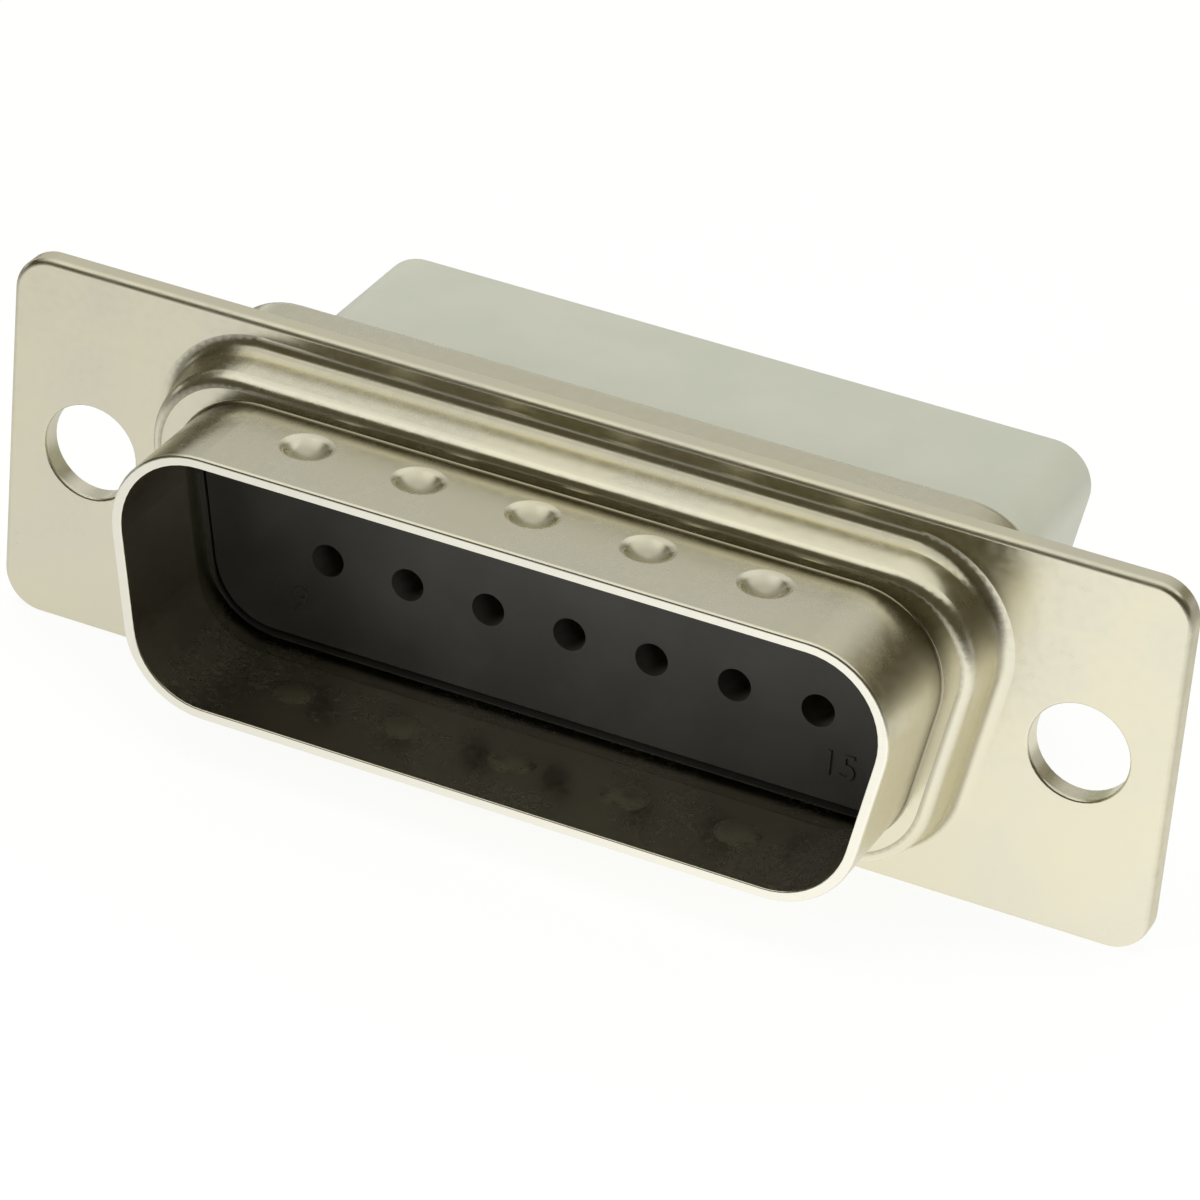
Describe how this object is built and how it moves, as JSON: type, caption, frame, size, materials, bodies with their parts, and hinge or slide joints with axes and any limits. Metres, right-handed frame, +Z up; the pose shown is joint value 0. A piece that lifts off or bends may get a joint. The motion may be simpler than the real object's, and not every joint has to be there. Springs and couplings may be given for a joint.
{
  "type": "d-sub plug housing",
  "caption": "Metal-shelled d-sub plug housing for crimp contacts, with a D-shaped mating shell, a flange with screw holes and a plastic contact block behind it.",
  "frame": {"origin": "middle of the flange's front face, midway between the two mounting holes", "axes": "X along the flange, +Y from the mating side to the wire side, +Z up with the wide side of the D on top"},
  "size_m": [0.0392, 0.0175, 0.0126],
  "materials": {
    "plated_steel": "drawn steel with a semi-bright nickel plating",
    "dark_plastic": "satin moulded plastic, dark grey",
    "pale_plastic": "satin moulded plastic, pale grey-green",
    "clip_copper_alloy": "thin rolled spring strip"
  },
  "bodies": {
    "root": {"front_shell": "plated_steel", "rear_shell": "plated_steel", "front_insulator": "dark_plastic", "rear_insulator": "pale_plastic", "retention_clip_01": "clip_copper_alloy", "retention_clip_02": "clip_copper_alloy", "retention_clip_03": "clip_copper_alloy", "retention_clip_04": "clip_copper_alloy", "retention_clip_05": "clip_copper_alloy", "retention_clip_06": "clip_copper_alloy", "retention_clip_07": "clip_copper_alloy", "retention_clip_08": "clip_copper_alloy", "retention_clip_09": "clip_copper_alloy", "retention_clip_10": "clip_copper_alloy", "retention_clip_11": "clip_copper_alloy", "retention_clip_12": "clip_copper_alloy", "retention_clip_13": "clip_copper_alloy", "retention_clip_14": "clip_copper_alloy", "retention_clip_15": "clip_copper_alloy"}
  },
  "joints": []
}
